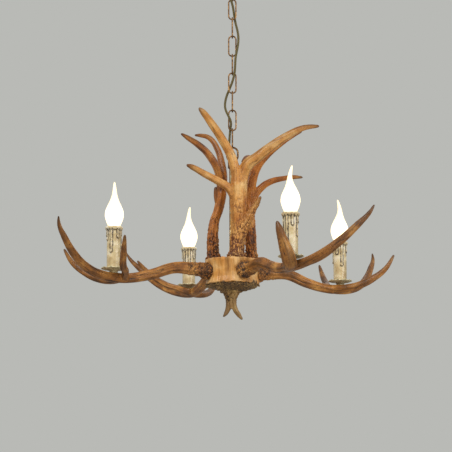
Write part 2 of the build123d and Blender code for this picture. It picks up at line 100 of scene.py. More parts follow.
def surfaceOf(mesh):
    places, normals = numpy.empty((2, len(mesh.vertices) * 3))
    mesh.vertices.foreach_get("co", places)
    mesh.vertex_normals.foreach_get("vector", normals)
    return places.reshape(-1, 3), normals.reshape(-1, 3)


def reshape(mesh, places, normals, push, **shares):
    # pushes each point along its normal, in mm, and stores what the materials read there
    places += normals * (push * mm)[:, None]
    mesh.vertices.foreach_set("co", places.ravel())
    mesh.update()
    for name, data in shares.items():
        vector = data.ndim == 2
        attribute = mesh.attributes.new(name, "FLOAT_VECTOR" if vector else "FLOAT", "POINT")
        attribute.data.foreach_set("vector" if vector else "value", data.astype(numpy.float32).ravel())


def sculpt(piece, shaper):
    # shaper gives, for a point in mm, the push along its normal in mm and the surface's shares
    places, normals = surfaceOf(piece.data)
    rows = [shaper(*(place / mm)) for place in places]
    push = numpy.array([row[0] for row in rows])
    shares = {name: numpy.array([row[1][name] for row in rows]) for name in rows[0][1]}
    reshape(piece.data, places, normals, push, **shares)


def copyPiece(piece, name, place):
    copy = piece.copy()
    copy.data = piece.data.copy()
    copy.name = name
    bpy.context.collection.objects.link(copy)
    copy.data.transform(place)
    return copy


def finishPiece(piece, material, body, slotName, *nodes):
    piece.data.materials.clear()
    piece.data.materials.append(material)
    makeActive(piece)
    bpy.ops.object.shade_smooth()
    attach(piece, body)
    if nodes:
        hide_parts(*nodes)


def turnedAbout(azimuth, radius=0.0, height=0.0):  # degrees, and mm from the middle of the hub
    return (
        Matrix.Translation((0, 0, hubLevel + height * mm))
        @ Matrix.Rotation(math.radians(azimuth), 4, "Z")
        @ Matrix.Translation((radius * mm, 0, 0))
    )


def toLinear(code):
    values = [int(code[i : i + 2], 16) / 255 for i in (1, 3, 5)]
    return (*[v / 12.92 if v <= 0.04045 else ((v + 0.055) / 1.055) ** 2.4 for v in values], 1)


def setInputs(node, inputs):  # a socket is linked, and a node stands for its first output
    for key, value in dict(inputs).items():
        if isinstance(value, bpy.types.Node):
            value = value.outputs[0]
        if isinstance(value, bpy.types.NodeSocket):
            node.id_data.links.new(value, node.inputs[key])
        else:
            node.inputs[key].default_value = value


def addNode(tree, kind, inputs=(), stops=None, **settings):
    made = setAll(tree.nodes.new(kind), **settings)
    setInputs(made, inputs)
    if stops:
        ramp = made.color_ramp
        while len(ramp.elements) < len(stops):
            ramp.elements.new(0.5)
        for element, (place, code) in zip(ramp.elements, stops):
            element.position = place
            element.color = toLinear(code) if isinstance(code, str) else (code, code, code, 1)
    return made


def startMaterial(name):
    material = bpy.data.materials.new(name)
    material.use_nodes = True
    material.node_tree.nodes.clear()
    add = partial(addNode, material.node_tree)
    shader = add("ShaderNodeBsdfPrincipled")
    add("ShaderNodeOutputMaterial", {"Surface": shader})
    place = add("ShaderNodeTexCoord").outputs["Object"]
    return material, add, shader, place


# Cast resin antler: moulded from a real one, so it keeps the grooves and pearls, then stained.
# The hollows, the grooves and the pearled root are coloured darker, and a satin coat gives a soft sheen.
def castResinAntler(name, deep, body, pale, hollowTone, tipTone, streaking):
    material, add, shader, place = startMaterial(name)
    grain = add("ShaderNodeAttribute", attribute_name="grainCo").outputs["Vector"]
    crevice, tip, rough = [
        add("ShaderNodeAttribute", attribute_name=share).outputs["Fac"]
        for share in ("crevice", "tipShade", "pearl")
    ]
    # fibres about 1.6 mm and streaks about 6 mm apart, drawn out 14 times along the branch
    long = add("ShaderNodeVectorMath", {0: grain, 1: (1, 1, 0.07)}, operation="MULTIPLY")
    fine, streak = [
        add("ShaderNodeTexNoise", {"Vector": long, "Scale": scale, "Detail": detail, "Roughness": rest})
        for scale, detail, rest in ((620, 4, 0.6), (170, 3, 0.55))
    ]
    # stain clouds about 25 mm across
    cloud = add("ShaderNodeTexNoise", {"Vector": place, "Scale": 38, "Detail": 3, "Roughness": 0.5})
    stops = [(0.30, deep), (0.5, body), (0.70, pale)]
    colour = add("ShaderNodeValToRGB", {"Fac": cloud}, stops=stops).outputs[0]
    for amount, pattern, stops in (
        (streaking, streak, [(0.34, 0.50), (0.50, 0.92), (0.66, 1.0)]),
        (0.45, fine, [(0.36, 0.62), (0.52, 1.0)]),
    ):
        lines = add("ShaderNodeValToRGB", {"Fac": pattern}, stops=stops)
        layer = {0: amount, 6: colour, 7: lines}
        colour = add("ShaderNodeMix", layer, data_type="RGBA", blend_type="MULTIPLY").outputs[2]
    hollow = add("ShaderNodeValToRGB", {"Fac": crevice}, stops=[(0.25, 0.0), (0.85, 0.92)])
    for amount, code in ((hollow, hollowTone), (tip, tipTone)):
        layer = {0: amount, 6: colour, 7: toLinear(code)}
        colour = add("ShaderNodeMix", layer, data_type="RGBA").outputs[2]
    gloss = add("ShaderNodeMapRange", {"Value": fine, "To Min": 0.50, "To Max": 0.30})
    dull = add("ShaderNodeMath", {0: rough, 1: 0.16, 2: gloss}, operation="MULTIPLY_ADD")
    heights = add("ShaderNodeMath", {0: streak, 1: 1.6, 2: fine}, operation="MULTIPLY_ADD")
    # grit about 1 mm apart, where the antler is pearled
    grit = add("ShaderNodeTexNoise", {"Vector": place, "Scale": 900, "Detail": 2})
    heights = add("ShaderNodeMath", {0: grit, 1: rough, 2: heights}, operation="MULTIPLY_ADD")
    bump = add("ShaderNodeBump", {"Height": heights, "Strength": 0.55, "Distance": 0.0006})
    setInputs(shader, {"Base Color": colour, "Roughness": dull, "Normal": bump})
    setInputs(shader, {"IOR": 1.5, "Specular IOR Level": 0.42})
    return material


antlerTones = {  # the deep, middle and pale stain, the hollows, the tips, and how strong the streaks are
    "honey": ("#84481A", "#C2752C", "#E2A252", "#3A1B0B", "#38220F", 0.75),
    "pale": ("#B06E2B", "#D2964C", "#E6BA78", "#58290F", "#4A2C16", 0.65),
    "dark": ("#80471A", "#BB722D", "#DA9A4C", "#35170A", "#33200F", 0.8),
    "arm": ("#6B431C", "#9E652A", "#CF944A", "#2A160A", "#30231A", 0.92),
    "hub": ("#BE8038", "#DA9F56", "#EFC486", "#7C481C", "#5A3A20", 0.85),
    "rim": ("#6E4F26", "#9A7542", "#C09C60", "#362210", "#33241A", 0.6),
}
antlerFinish = {name: castResinAntler("castResin_" + name, *tones) for name, tones in antlerTones.items()}


# Antique bronze: steel wire and spun sheet, lacquered dark brown and rubbed to gold on the high
# places. Two metres off it reads as dark brown with warm glints.
def antiqueBronze():
    material, add, shader, place = startMaterial("antiqueBronze")
    patch = add("ShaderNodeTexNoise", {"Vector": place, "Scale": 180, "Detail": 5, "Roughness": 0.65})
    stops = [(0.34, "#463220"), (0.52, "#86623C"), (0.68, "#C29A66")]
    tone = add("ShaderNodeValToRGB", {"Fac": patch}, stops=stops)
    dull = add("ShaderNodeMapRange", {"Value": patch, "To Min": 0.55, "To Max": 0.30})
    # hammer marks 3 mm apart
    mark = add("ShaderNodeTexVoronoi", {"Vector": place, "Scale": 330}, feature="SMOOTH_F1")
    bump = add("ShaderNodeBump", {"Height": mark, "Strength": 0.25, "Distance": 0.0004})
    setInputs(shader, {"Base Color": tone, "Roughness": dull, "Normal": bump, "Metallic": 0.85})
    return material


# Pewter: cast white metal with an olive patina, dull in the hollows and worn bright on the rim.
def patinatedPewter():
    material, add, shader, place = startMaterial("patinatedPewter")
    patch = add("ShaderNodeTexNoise", {"Vector": place, "Scale": 260, "Detail": 5, "Roughness": 0.6})
    worn = add("ShaderNodeNewGeometry").outputs["Pointiness"]
    stops = [(0.32, "#8A7B54"), (0.5, "#B8AA80"), (0.68, "#E0D6B0")]
    tone = add("ShaderNodeValToRGB", {"Fac": patch}, stops=stops)
    edge = add("ShaderNodeValToRGB", {"Fac": worn}, stops=[(0.50, 0.0), (0.60, 1.0)])
    mixed = add("ShaderNodeMix", {0: edge, 6: tone, 7: toLinear("#DCD2AC")}, data_type="RGBA")
    grain = add("ShaderNodeTexNoise", {"Vector": place, "Scale": 900, "Detail": 2})
    bump = add("ShaderNodeBump", {"Height": grain, "Strength": 0.3, "Distance": 0.0003})
    setInputs(shader, {"Base Color": mixed.outputs[2], "Normal": bump, "Metallic": 0.2, "Roughness": 0.4})
    return material


# Candle sleeve: cream lacquered resin with drips, with painted shade in dark brown in the
# creases beside each drip and under the rim.
def creaseShadedSleeve():
    material, add, shader, place = startMaterial("creamResinCreaseShade")
    glaze = add("ShaderNodeAttribute", attribute_name="glaze").outputs["Fac"]
    cloud = add("ShaderNodeTexNoise", {"Vector": place, "Scale": 60, "Detail": 4})
    stops = [(0.3, "#B39A6C"), (0.5, "#D3C094"), (0.68, "#EADFC2")]
    tone = add("ShaderNodeValToRGB", {"Fac": cloud}, stops=stops)
    broken = add("ShaderNodeTexNoise", {"Vector": place, "Scale": 320, "Detail": 2})
    patchy = add("ShaderNodeValToRGB", {"Fac": broken}, stops=[(0.3, 0.35), (0.5, 1.0)])
    # painted shade, broken up, in the creases beside the drips and under the rim
    amount = add("ShaderNodeMath", {0: glaze, 1: patchy}, operation="MULTIPLY")
    mixed = add("ShaderNodeMix", {0: amount, 6: tone, 7: toLinear("#2E1A0C")}, data_type="RGBA")
    bump = add("ShaderNodeBump", {"Height": cloud, "Strength": 0.15, "Distance": 0.0005})
    setInputs(shader, {"Base Color": mixed.outputs[2], "Normal": bump, "Roughness": 0.38, "IOR": 1.48})
    setInputs(shader, {"Coat Weight": 0.5, "Coat Roughness": 0.2})
    setInputs(shader, {"Subsurface Weight": 0.06, "Subsurface Radius": (0.004, 0.002, 0.001)})
    return material


# Lit candle bulb: frosted soda-lime glass. The body is burnt out to white, the bent tail and the
# neck are further from the filament and glow a warm cream.
def litGlass():
    material, add, shader, place = startMaterial("litFrostedGlass")
    tail, neck = [
        add("ShaderNodeAttribute", attribute_name=name).outputs["Fac"] for name in ("tail", "neck")
    ]
    slant = add("ShaderNodeLayerWeight", {"Blend": 0.55}).outputs["Facing"]
    far = add("ShaderNodeMath", {0: tail, 1: neck}, operation="MAXIMUM")
    cool = add("ShaderNodeMath", {0: slant, 1: 0.85, 2: far}, operation="MULTIPLY_ADD")
    stops = [(0.0, "#FFDDA8"), (0.5, "#FFEDC8"), (1.0, "#F8E2B0")]
    glow = add("ShaderNodeValToRGB", {"Fac": cool}, stops=stops)
    power = add("ShaderNodeMapRange", {"Value": cool, "From Max": 0.85, "To Min": 3.0, "To Max": 0.95})
    frost = add("ShaderNodeTexNoise", {"Vector": place, "Scale": 700, "Detail": 2})
    bump = add("ShaderNodeBump", {"Height": frost, "Strength": 0.05, "Distance": 0.0002})
    setInputs(shader, {"Emission Color": glow, "Emission Strength": power, "Normal": bump})
    setInputs(shader, {"Base Color": toLinear("#F4E3C2"), "Roughness": 0.25, "IOR": 1.52})
    return material


def plainMetal(name, deep, pale, roughness, scale, metallic=1.0):
    material, add, shader, place = startMaterial(name)
    patch = add("ShaderNodeTexNoise", {"Vector": place, "Scale": scale, "Detail": 4})
    tone = add("ShaderNodeValToRGB", {"Fac": patch}, stops=[(0.35, deep), (0.65, pale)])
    sheen = {"Value": patch, "To Min": roughness + 0.1, "To Max": roughness - 0.06}
    dull = add("ShaderNodeMapRange", sheen)
    bump = add("ShaderNodeBump", {"Height": patch, "Strength": 0.12, "Distance": 0.0002})
    setInputs(shader, {"Base Color": tone, "Roughness": dull, "Normal": bump, "Metallic": metallic})
    return material


# Woven cord cover: olive gold yarn, two strands over two at 0.9 mm, drawn at 1.6 mm to show.
def wovenCord():
    material, add, shader, _ = startMaterial("wovenPolyesterCord")
    weave = add("ShaderNodeUVMap", uv_map="weave")
    wave = add(
        "ShaderNodeTexWave",
        {"Vector": weave, "Scale": 1.0, "Distortion": 0.4, "Detail": 1},
        wave_type="BANDS",
        bands_direction="DIAGONAL",
    ).outputs["Fac"]
    stops = [(0.1, "#2E2712"), (0.6, "#5F5327"), (1.0, "#80723E")]
    tone = add("ShaderNodeValToRGB", {"Fac": wave}, stops=stops)
    bump = add("ShaderNodeBump", {"Height": wave, "Strength": 0.6, "Distance": 0.0003})
    setInputs(shader, {"Base Color": tone, "Normal": bump, "Roughness": 0.8})
    setInputs(shader, {"Sheen Weight": 0.35, "Sheen Roughness": 0.4})
    return material


bronze = antiqueBronze()
pewter = patinatedPewter()
sleeveResin = creaseShadedSleeve()
bulbGlass = litGlass()
# The stem is rubbed brass, the bulb caps are nickel plate, the fixings zinc-plated steel, and the
# lampholders, bushing and terminal block moulded nylon. Each has fine clouding and a faint waviness.
brass = plainMetal("rubbedBrass", "#A88450", "#F0DDB4", 0.2, 160)
nickel = plainMetal("nickelPlate", "#A9A49A", "#CFCBC2", 0.28, 300)
zinc = plainMetal("zincPlatedSteel", "#8E9192", "#B4B7B8", 0.4, 220)
nylon = plainMetal("mouldedNylon", "#DAD4C4", "#E6E1D3", 0.45, 120, metallic=0.0)
cordCloth = wovenCord()
print("materials made")

# the photograph is taken from below the hub, looking up 9.55 degrees
cameraSettings = dict(place=(-0.012, -2.7125, -0.3747), tilt=9.55, lens=117.88, sensor=36)
x, y, z = cameraSettings["place"]  # metres from the middle of the hub
bpy.ops.object.camera_add(
    location=(x, y, hubLevel + z), rotation=(math.radians(90 + cameraSettings["tilt"]), 0, 0)
)
camera = bpy.context.object
setAll(camera.data, lens=cameraSettings["lens"], sensor_width=cameraSettings["sensor"])
bpy.context.scene.camera = camera
bpy.context.scene.view_settings.view_transform = "Standard"

# the supply cord has one route, with heights above the hub in mm, as in the part's source
cordSettings = dict(radius=2.2, sides=14, joinGap=7, stubRings=2, stubShare=0.92, pitch=1.6, bands=0.7)
cordRoute = [
    (-17, -5, 589.2), (-17, -5, 572), (-12.5, -8.8, 550), (-6.8, -10.2, 531), (-3.2, -8.2, 517.5),
    (1.2, -3.6, 505), (3.2, 3.5, 491.5), (6, 6.5, 475), (10.7, 2.5, 456), (12, -1.8, 439),
    (9.5, -5.8, 421), (5.8, -6.8, 403), (5.3, -6, 387), (4.2, -4.6, 372.5), (0.2, 0.3, 358),
    (-5.5, 5, 345), (-11.5, 4.5, 330), (-14.5, 2, 314), (-12.5, -3, 301), (-7.0, -5.6, 289.5),
    (-1.8, -1.4, 279), (-4.2, 5.4, 265.5), (-5.4, 5, 249), (-6, 5.6, 235), (-4.2, 3.7, 224.5),
    (0, 0, 214), (0, 0, 203.6),
]
linkLevels = [(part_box(f"chain_link_{i}")[0][2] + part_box(f"chain_link_{i}")[1][2]) / 2 for i in range(9)]


def lineOf(curve):
    bpy.context.view_layer.update()
    line = bpy.data.meshes.new_from_object(curve.evaluated_get(bpy.context.evaluated_depsgraph_get()))
    return [v.co.copy() for v in line.vertices]


def routeLine():
    route = bpy.data.curves.new("cordRoute", "CURVE")
    route.dimensions = "3D"
    spline = route.splines.new("NURBS")
    spline.points.add(len(cordRoute) - 1)
    for point, (x, y, z) in zip(spline.points, cordRoute):
        point.co = (x * mm, y * mm, hubLevel + z * mm, 1)
    setAll(spline, order_u=3, use_endpoint_u=True, resolution_u=10)
    holder = bpy.data.objects.new("cordRoute", route)
    bpy.context.collection.objects.link(holder)
    points = lineOf(holder)
    bpy.data.objects.remove(holder)
    return points


def cordTube(name, path, start, stub):
    # rings square to the line, the first ones narrower, and a weave map round and along it
    sides, radius = cordSettings["sides"], cordSettings["radius"] * mm
    side = Vector((1, 0, 0))
    verts, along = [], []
    travelled = start
    for i, point in enumerate(path):
        heading = (path[min(i + 1, len(path) - 1)] - path[max(i - 1, 0)]).normalized()
        side = (side - heading * side.dot(heading)).normalized()
        other = heading.cross(side)
        if i:
            travelled += (point - path[i - 1]).length
        reach = radius * (cordSettings["stubShare"] if i < stub else 1)
        for k in range(sides):
            angle = 2 * math.pi * k / sides
            verts.append(point + (side * math.cos(angle) + other * math.sin(angle)) * reach)
        along.append(travelled)
    faces = []
    for i in range(len(path) - 1):
        for k in range(sides):
            a, b = i * sides + k, i * sides + (k + 1) % sides
            faces.append((a, b, b + sides, a + sides))
    walls = len(faces)
    faces += [tuple(reversed(range(sides))), tuple(range(walls, walls + sides))]
    mesh = bpy.data.meshes.new(name)
    mesh.from_pydata(verts, [], faces)
    weave = mesh.uv_layers.new(name="weave")
    pitch, bands = cordSettings["pitch"] * mm, cordSettings["bands"]
    for face in mesh.polygons[:walls]:
        row, k = divmod(face.index, sides)
        for corner, (dk, drow) in zip(face.loop_indices, ((0, 0), (1, 0), (1, 1), (0, 1))):
            turn = (k + dk) / sides * 2 * math.pi * radius / pitch
            weave.data[corner].uv = (turn * bands, along[row + drow] / pitch * bands)
    mesh.shade_smooth()
    mesh.materials.append(cordCloth)
    piece = bpy.data.objects.new(name, mesh)
    bpy.context.collection.objects.link(piece)
    return piece, travelled


cordLine = routeLine()
hinges = [
    joint for joint in frame["record"]["behaviour"]["joints"] if not joint["name"].endswith("_bulb_turn")
]
# The cord bends at the two widest hinges. Below them each span rides its own link, and starts as
# a narrower stub inside the span above, so that a few degrees open no gap.
bending = 2
belowAll = -10.0
cuts = [linkLevels[0], *[hinge["pos_m"][2] for hinge in hinges[bending:]], belowAll]
cuts[-2] += 4.5 * mm  # the last span is a little longer, because a cord has to be 30 mm long
span, spanStart, made, stub = [], 0.0, 0, 0
for index, point in enumerate(cordLine):
    span.append(point)
    if point.z < cuts[made] or index == len(cordLine) - 1:
        joint = hinges[made]
        piece, spanEnd = cordTube(f"cord_span_{made}", span, spanStart, stub)
        if made < bending:
            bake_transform(piece)
        else:
            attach(piece, joint["child"])
        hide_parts("supply_cord")
        made += 1
        stub = cordSettings["stubRings"] if made >= bending else 0
        span = span[-1 - stub :]
        spanStart = spanEnd - sum((b - a).length for a, b in zip(span, span[1:]))
print("cord spans made:", made)


# a branch that ends thinner than 6 mm gets a blunt tip: the last knot drawn back, then 0.45 as thin
bluntTip = dict(under=6, back=0.9, share=0.45)
stump = 5  # mm of radius from which an end is a cut stump and has no tip


def spineOf(knots):  # a smooth line through the knots, and the radius along it
    radius = knots[-1][3]
    if radius < bluntTip["under"]:
        end, before = Vector(knots[-1][:3]), Vector(knots[-2][:3])
        back = (before - end).normalized() * radius * bluntTip["back"]
        knots = [*knots[:-1], (*(end + back), radius), (*end, radius * bluntTip["share"])]
    bpy.ops.curve.primitive_bezier_curve_add()
    curve = bpy.context.object
    spline = curve.data.splines[0]
    spline.bezier_points.add(len(knots) - 2)
    for point, knot in zip(spline.bezier_points, knots):
        point.handle_left_type = point.handle_right_type = "AUTO"
        point.co = Vector(knot[:3]) * mm
        point.radius = knot[3] * mm
    setAll(curve.data, resolution_u=8, twist_mode="MINIMUM")
    points = numpy.array(lineOf(curve))
    share = numpy.linspace(0, len(knots) - 1, len(points))
    radii = numpy.interp(share, range(len(knots)), [knot[3] * mm for knot in knots])
    return curve, points, radii


def skinOf(curve, **bevel):
    setAll(curve.data, use_fill_caps=True, **bevel)
    makeActive(curve)
    bpy.ops.object.convert(target="MESH")
    return bpy.context.object


def fluted(name, flutes, depth, wide=1.0, groove=0.0):
    # the section of a branch, one unit in radius, with shallow flutes and a groove on one side
    bpy.ops.mesh.primitive_circle_add(vertices=40, radius=1)
    section = bpy.context.object
    section.name = name
    grooveHalf = 0.42  # radians
    for vertex in section.data.vertices:
        angle = math.atan2(vertex.co.y, vertex.co.x)
        swell = 1 + depth * math.cos(flutes * angle) + 0.6 * depth * math.sin((flutes - 2) * angle + 1)
        swell -= groove * math.exp(-(((angle - math.pi / 2) / grooveHalf) ** 2))
        vertex.co.x *= swell * wide
        vertex.co.y *= swell / math.sqrt(wide)
    bpy.ops.object.convert(target="CURVE")
    section.hide_render = True
    return section


beamSection = fluted("beamSection", 7, 0.045)
tineSection = fluted("tineSection", 5, 0.05)
broadSection = fluted("broadSection", 9, 0.075, wide=1.2, groove=0.12)


def addNodule(angle, reach, height, size, flat, detail):
    bpy.ops.mesh.primitive_ico_sphere_add(
        subdivisions=detail,
        radius=size * mm,
        location=(reach * math.cos(angle) * mm, reach * math.sin(angle) * mm, height * mm),
        scale=(1, 1, flat),
    )


def crownOf(radius, depth, count, big, place, seed):
    # the burr: a collar with nodules crowded round it in two rows
    chance = random.Random(seed)
    bpy.ops.mesh.primitive_cylinder_add(vertices=40, radius=(radius - big * 0.9) * mm, depth=depth * mm)
    crown = bpy.context.object
    crown.data.transform(Matrix.Translation((0, 0, depth / 2 * mm)))
    bpy.ops.object.mode_set(mode="EDIT")
    for k in range(count):
        angle = 2 * math.pi * (k + chance.uniform(-0.3, 0.3)) / count
        size = big * chance.uniform(0.6, 1.1)
        reach = radius - size * chance.uniform(0.95, 1.25)
        height = depth * (0.28 if k % 2 else 0.68) + chance.uniform(-0.6, 0.6)
        addNodule(angle, reach, height, size, chance.uniform(0.7, 1.15), 2)
    bpy.ops.object.mode_set(mode="OBJECT")
    crown.data.transform(place)
    return crown


def nearestOnSpines(places, spines):
    # for each point of the surface, on the branch whose skin is nearest: its straightened place
    # (across, across, along), the branch's radius there, the way to its tip and how dark it ends
    best = numpy.full(len(places), 1e9)
    grain = numpy.zeros((len(places), 3))
    radiusHere, toTip, tineDark = numpy.zeros((3, len(places)))
    trunk = trunkAlong = None
    for points, radii, dark in spines:
        steps = numpy.linalg.norm(numpy.diff(points, axis=0), axis=1)
        along = numpy.concatenate([[0], numpy.cumsum(steps)])
        if trunk is None:
            trunk, trunkAlong, start = points, along, 0.0
        else:  # a branch counts on from where it leaves the beam, so the grain runs through
            start = trunkAlong[numpy.linalg.norm(trunk - points[0], axis=1).argmin()]
        headings = numpy.gradient(points, axis=0)
        headings /= numpy.linalg.norm(headings, axis=1)[:, None]
        side = Vector((0.31, 0.83, 0.47))  # any direction that no branch runs in
        sides = []
        for heading in headings:
            tangent = Vector(heading)
            side = (side - tangent * side.dot(tangent)).normalized()
            sides.append(side.copy())
        sides = numpy.array(sides)
        others = numpy.cross(headings, sides)
        squared = (places**2).sum(1)[:, None] + (points**2).sum(1)[None] - 2 * places @ points.T
        gap = numpy.sqrt(numpy.maximum(squared, 0)) - radii[None]
        spot = gap.argmin(1)
        value = gap[numpy.arange(len(places)), spot]
        closer = value < best
        best[closer] = value[closer]
        away = places - points[spot]
        across, over, on = [(away * axes[spot]).sum(1) for axes in (sides, others, headings)]
        grain[closer] = numpy.stack([across, over, start + along[spot] + on], 1)[closer]
        radiusHere[closer] = radii[spot][closer]
        tineDark[closer] = dark
        toTip[closer] = (along[-1] - along[spot])[closer] if radii[-1] < stump * mm else 1.0
    return grain, radiusHere, toTip, tineDark


# depths are shares of the branch's radius, and pearlLevel is how far up a pearl the plain surface is
carveSettings = dict(swell=0.11, groove=0.065, grooveShade=0.85, pearlLevel=0.7, grit=0.3, tineFade=85)


def carve(piece, spines, settings):
    # grooves along each branch, and pearls thick at the root that thin out up the beam
    places, normals = surfaceOf(piece.data)
    grain, radiusHere, toTip, tineDark = nearestOnSpines(places, spines)
    fromRoot = numpy.linalg.norm(places - numpy.array(settings["root"]) * mm, axis=1) / mm
    seed, size, level = settings["seed"], settings["pearlSize"], carveSettings["pearlLevel"]
    push, crevice, pearl = numpy.zeros((3, len(places)))
    for i, place in enumerate(places):
        a, b, length = grain[i] / mm
        angle = math.atan2(b, a)
        c, s = math.cos(angle), math.sin(angle)
        radius = radiusHere[i] / mm
        wide = noise.noise((c * 1.7 + seed, s * 1.7, length * 0.011))
        narrow = noise.noise((c * 4.6, s * 4.6 + seed, length * 0.022))
        groove = max(0.0, 1 - abs(narrow) * 7) ** 1.5
        height = wide * carveSettings["swell"] * radius * settings["flow"]
        height -= groove * carveSettings["groove"] * radius * settings["grooves"]
        x, y, z = place / mm
        drift = noise.noise((x * 0.05 + seed, y * 0.05, z * 0.05))
        amount = (settings["pearlReach"] * (1 + 0.4 * drift) - fromRoot[i]) / settings["pearlFade"]
        amount = min(1.0, max(0.0, amount))
        shade = carveSettings["grooveShade"] * groove * settings["grooves"]
        if amount > 0:
            stir = noise.noise_vector((x * 0.16, y * 0.16, z * 0.16 + seed)) * 0.45
            spot = Vector((x / size, y / size, z / size / settings["pearlLong"] + seed)) + stir
            near, small = noise.voronoi(spot)[0], noise.voronoi(spot * 1.9)[0]
            seam, speck = near[1] - near[0], small[1] - small[0]
            bump, grit = min(1.0, seam * 2.3), min(1.0, speck * 2.4)
            uneven = 0.5 + max(0.0, 0.5 + noise.noise((x * 0.19, y * 0.19 + seed, z * 0.13)))
            root = max(0.0, 1 - fromRoot[i] / settings["rootDark"])
            rise = (bump - level) * uneven + (grit - level) * carveSettings["grit"]
            height += amount * rise * settings["pearlHeight"]
            deep = max(0.0, 1 - seam / 0.24) * (0.25 + 0.75 * uneven) + max(0.0, 1 - speck / 0.2) * 0.5
            deep = min(1.0, deep + root * (0.45 + 0.9 * uneven) * (1.3 - bump))
            shade = max(shade * (1 - amount), amount * deep)
        push[i], crevice[i], pearl[i] = height, shade, amount
    upper = 0.55 + 0.45 * numpy.clip(normals[:, 2], -1, 1)  # tips darken most on their upper side
    tipShade = numpy.maximum(
        numpy.exp(-toTip / mm / settings["tipDark"]) * settings["tipTone"],
        numpy.exp(-toTip / mm / carveSettings["tineFade"]) * upper * tineDark,
    )
    reshape(piece.data, places, normals, push, grainCo=grain, crevice=crevice, pearl=pearl, tipShade=tipShade)


def growAntler(name, branches, crowns, settings):
    # each branch is its knots, its section and how dark it ends, and the beam comes first
    parts, spines = [], []
    for knots, section, dark in branches:
        curve, points, radii = spineOf(knots)
        parts.append(skinOf(curve, bevel_mode="OBJECT", bevel_object=section))
        spines.append((numpy.array([settings["place"] @ Vector(p) for p in points]), radii, dark))
    antler = joinAll([*parts, *crowns], name)
    antler.data.transform(settings["place"])
    melt(antler, settings["voxel"], settings["soften"])
    carve(antler, spines, settings)
    return antler


waistRadius = 46.5
candleRing = 230  # mm from the stem to the axis of each candle
armReach = candleRing - waistRadius
# the beam's knots: the share of the way out, to the left, up from the hub, radius, in mm
armBeam = [
    (-0.04, 2, -5, 14), (0.04, 4, -4.6, 14), (0.11, 6.5, -3.8, 13), (0.20, 6, -3, 11.4),
    (0.37, 1.5, -2.6, 9.9), (0.60, 0, -16, 9.4), (0.83, 0, -25, 8.9), (1.00, 3, -25.5, 8.9),
    (1.13, 10, -23, 8.3),
    (1.32, 26, -12, 7.7), (1.475, 46, 7, 7.0), (1.607, 68, 33, 5.6), (1.68, 82, 51, 3.6), (1.70, 90, 65, 1.5),
]
# the tines' knots: out from the candle's axis, to the left, up from the hub, radius
sideTine = [
    (-15, 0, -25, 8.2), (-2, -25, -26, 7.7), (16, -47, -21, 7.0), (35, -65, -9, 6.2),
    (54, -78, 9, 4.7), (69, -84, 35, 2.1),
]
broadTine = [
    (-17, 0, -26, 8.2), (12, -8, -27, 9.0), (27, -17, -21, 9.8), (34, -25, -9, 9.4),
    (35.3, -30.3, 2.5, 8.3), (35.4, -35, 15, 6.9), (33.8, -40.2, 32, 5.2), (31.5, -43.2, 44, 2.8),
]
shortTine = [
    (-24, 0, -25, 7.6), (-18, 11, -23, 6.8), (-13.5, 27.5, -18, 6.4), (-2, 50, -10, 6.2),
    (6.5, 78, 9, 5.6), (13.5, 104, 36, 2.2),
]
armSettings = {
    "left": dict(azimuth=202, lift=-1.2, second=sideTine, section=tineSection, dark=0.6, seed=3.1),
    "near": dict(azimuth=-64.5, lift=3, second=broadTine, section=broadSection, dark=0.9, seed=11.7),
    "right": dict(azimuth=26, lift=0.4, second=sideTine, section=tineSection, dark=0.6, seed=23.3),
    "back": dict(azimuth=112, lift=6.8, second=sideTine, section=tineSection, dark=0.6, seed=31.9),
}
armBeam = [((share - 1) * armReach, *rest) for share, *rest in armBeam]
armForm = dict(
    crowns=((45.5, 17.6, 18, 4.0), (52.5, 17.0, 14, 3.6)),  # out, radius, nodules, size of the largest
    knob=16.4, knobPlace=(53, -1.5, -6), knobFlat=0.72,  # the swollen root over the hub's side
    boss=8.4, bossDepth=9, bossLevel=-21.5, shortDark=0.6,  # the seat under each candle
)
antlerVoxel = 1.0
for name, arm in armSettings.items():
    lift, place = arm["lift"], turnedAbout(arm["azimuth"])
    lines = [
        [(candleRing + out, side, up + lift * (1 + out / armReach), size) for out, side, up, size in knots]
        for knots in (armBeam, arm["second"], shortTine)
    ]
    sections = (beamSection, arm["section"], tineSection)
    branches = zip(lines, sections, (arm["dark"], arm["dark"], armForm["shortDark"]))
    crowns = [
        crownOf(
            radius, 8, count, big,
            Matrix.Translation((out * mm, 0, -5 * mm)) @ Matrix.Rotation(math.radians(90), 4, "Y"),
            int(arm["seed"] * 10) + count,
        )
        for out, radius, count, big in armForm["crowns"]
    ]
    bpy.ops.mesh.primitive_uv_sphere_add(segments=40, ring_count=24, radius=armForm["knob"] * mm)
    knob = bpy.context.object
    knob.data.transform(
        Matrix.Translation([c * mm for c in armForm["knobPlace"]])
        @ Matrix.Scale(armForm["knobFlat"], 4, (1, 0, 0))
    )
    bpy.ops.mesh.primitive_cylinder_add(
        vertices=32, radius=armForm["boss"] * mm, depth=armForm["bossDepth"] * mm
    )
    boss = bpy.context.object
    boss.location = (candleRing * mm, 0, (armForm["bossLevel"] + lift) * mm)
    root = turnedAbout(arm["azimuth"], waistRadius, -5).translation / mm
    surface = dict(
        place=place, voxel=antlerVoxel, soften=3, seed=arm["seed"], root=root, pearlReach=68, pearlFade=44,
        pearlSize=4.8, pearlLong=1.3, pearlHeight=1.6, rootDark=22, grooves=1.2, flow=1.2, tipDark=16,
        tipTone=0.8,
    )
    antler = growAntler(f"{name}_antler", branches, [*crowns, knob, boss], surface)
    finishPiece(antler, antlerFinish["arm"], "fixture", "antler_honey", f"{name}_arm")
    print("arm grown:", name, len(antler.data.polygons))

